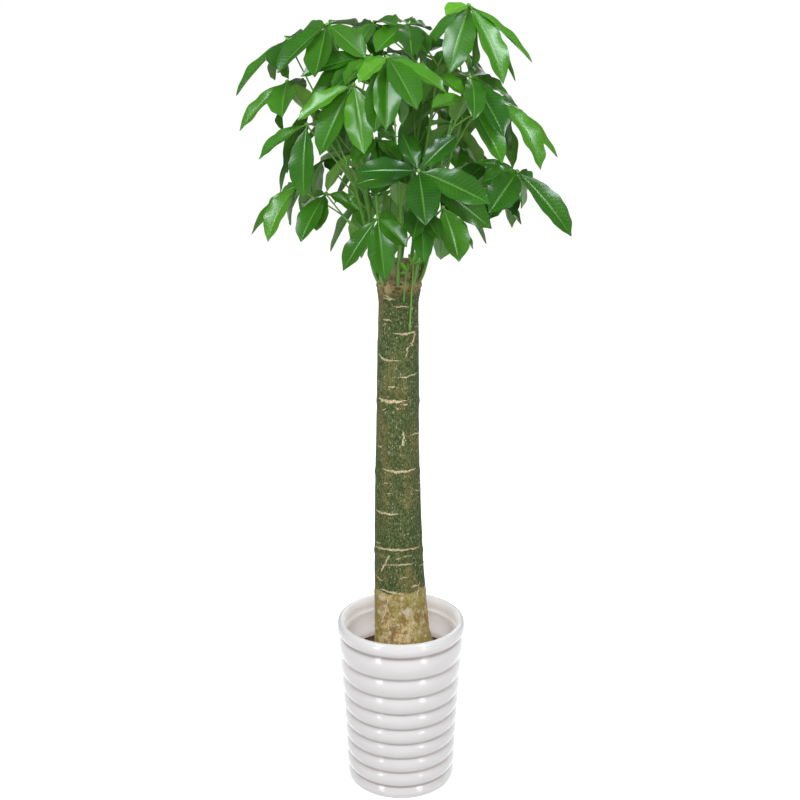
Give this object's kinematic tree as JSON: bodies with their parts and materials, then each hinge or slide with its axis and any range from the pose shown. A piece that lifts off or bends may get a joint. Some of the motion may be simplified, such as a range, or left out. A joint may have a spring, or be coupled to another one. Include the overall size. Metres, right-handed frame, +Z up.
{
  "type": "potted money tree",
  "caption": "Tall potted money tree: a bare single trunk in a ribbed white glazed pot, with a crown of hand-shaped leaves on long stalks.",
  "frame": {"origin": "middle of the pot's foot, on the surface it stands on", "axes": "+Z up along the pot's axis, -Y towards the viewer of the picture, +X to the viewer's right"},
  "size_m": [0.7002, 0.6462, 1.7747],
  "materials": {
    "glaze": "gloss",
    "soil": "matte",
    "bark": "matte",
    "leaf": "satin",
    "young_leaf": "satin"
  },
  "bodies": {
    "root": {"pot": "glaze", "soil": "soil", "trunk": "bark", "shoot_left_low": "leaf", "shoot_left_high": "leaf", "shoot_front_left": "leaf", "shoot_front_middle": "leaf", "shoot_front_right": "leaf", "shoot_right_low": "leaf", "shoot_right_high": "leaf", "shoot_top_right": "leaf", "shoot_back_right": "leaf", "shoot_back_middle_right": "leaf", "shoot_back_middle_left": "leaf", "shoot_back_left": "leaf", "sprout_left": "young_leaf", "sprout_middle": "young_leaf"}
  },
  "joints": []
}
